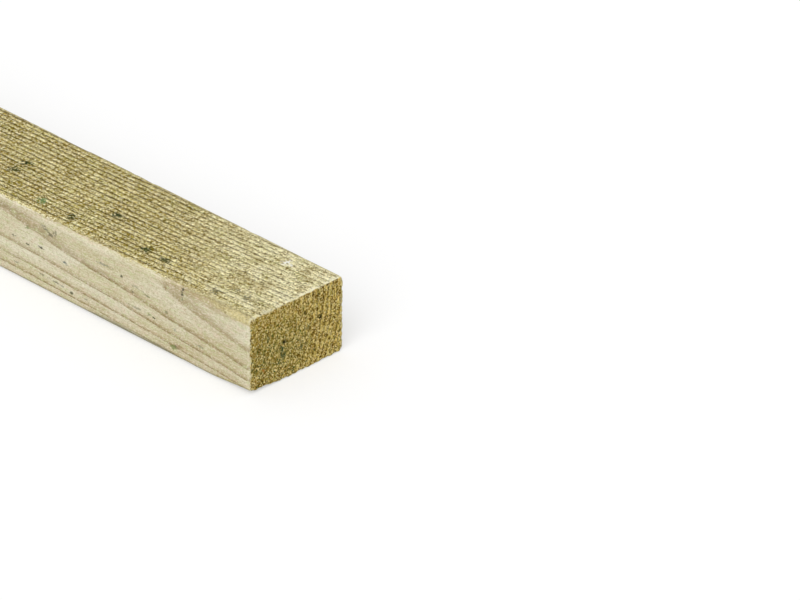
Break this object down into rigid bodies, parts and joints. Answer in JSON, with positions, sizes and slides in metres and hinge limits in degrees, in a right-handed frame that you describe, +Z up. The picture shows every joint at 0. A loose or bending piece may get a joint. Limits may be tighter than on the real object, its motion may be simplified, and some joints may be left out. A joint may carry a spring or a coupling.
{
  "type": "timber stud",
  "caption": "Straight rectangular stick of pressure-treated sawn softwood with eased long edges and square-cut ends, lying on a wide face.",
  "frame": {"origin": "centre of the wide face that the stud rests on, at mid length", "axes": "+X along the stud's length towards the end that the picture shows, +Y across its width away from the planed edge that the picture shows, +Z up out of the rough-sawn wide face"},
  "size_m": [1.8, 0.075, 0.05],
  "materials": {
    "treated_softwood": "matte"
  },
  "bodies": {
    "root": {"stud": "treated_softwood"}
  },
  "joints": []
}
